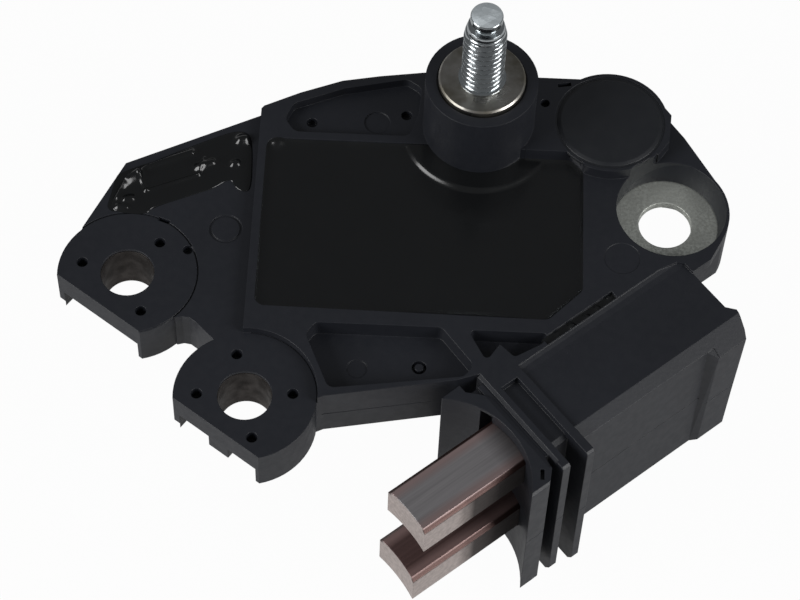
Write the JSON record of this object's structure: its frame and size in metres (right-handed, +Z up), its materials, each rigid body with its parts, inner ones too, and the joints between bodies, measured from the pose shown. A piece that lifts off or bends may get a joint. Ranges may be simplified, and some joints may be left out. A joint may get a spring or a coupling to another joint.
{
  "type": "alternator voltage regulator",
  "caption": "Alternator voltage regulator with potted circuit, threaded terminal stud, eyelet terminal, bored mounting lugs and sprung carbon brushes in a moulded holder.",
  "frame": {"origin": "centre of the left mounting lug's bore, in the mounting plane at the lower ends of the lug sleeves", "axes": "+Z up along the terminal stud, away from the mounting plane; +X to the right along the front wall of the potted well, from the left lug toward the eyelet; +Y to the back, toward the stud"},
  "size_m": [0.0798, 0.0616, 0.0493],
  "materials": {
    "housing_plastic": "glass-filled black plastic, satin",
    "cover_plastic": "black plastic, satin",
    "resin": "black potting resin, soft gloss",
    "zinc_steel": "bright zinc plating",
    "sleeve_steel": "dull plated steel",
    "eyelet_metal": "tinned sheet, lightly scratched",
    "brass_strip": "stamped strip",
    "graphite": null,
    "spring_steel": "drawn wire",
    "copper_braid": "fine copper strands",
    "aluminium_plate": "rolled plate",
    "ceramic": "white alumina, matt",
    "chip_plastic": "moulded chip body"
  },
  "bodies": {
    "regulator": {"housing": "housing_plastic", "rear_cover": "cover_plastic", "round_cap": "cover_plastic", "potting": "resin", "wing_sealant": "resin", "trench_sealant": "resin", "terminal_stud": "zinc_steel", "contact_washer": "zinc_steel", "left_lug_sleeve": "sleeve_steel", "front_lug_sleeve": "sleeve_steel", "eyelet": "eyelet_metal", "ground_busbar": "brass_strip", "stud_busbar": "brass_strip", "upper_spring": "spring_steel", "lower_spring": "spring_steel", "upper_pigtail": "copper_braid", "lower_pigtail": "copper_braid", "upper_contact": "brass_strip", "lower_contact": "brass_strip", "heat_sink": "aluminium_plate", "substrate": "ceramic", "control_chip": "chip_plastic", "power_chip": "chip_plastic", "diode_chip": "chip_plastic", "capacitor": "aluminium_plate"},
    "upper_brush_body": {"upper_brush": "graphite"},
    "lower_brush_body": {"lower_brush": "graphite"}
  },
  "joints": [
    {"name": "upper_brush_slide", "type": "slide", "parent": "regulator", "child": "upper_brush_body", "axis": [0.766, 0.6428, 0], "range_m": [0, 0.012], "stiffness_N_per_m": 150, "springref_m": -0.012, "deforming": ["upper_spring", "upper_pigtail"]},
    {"name": "lower_brush_slide", "type": "slide", "parent": "regulator", "child": "lower_brush_body", "axis": [0.766, 0.6428, 0], "range_m": [0, 0.012], "stiffness_N_per_m": 150, "springref_m": -0.012, "deforming": ["lower_spring", "lower_pigtail"]}
  ]
}
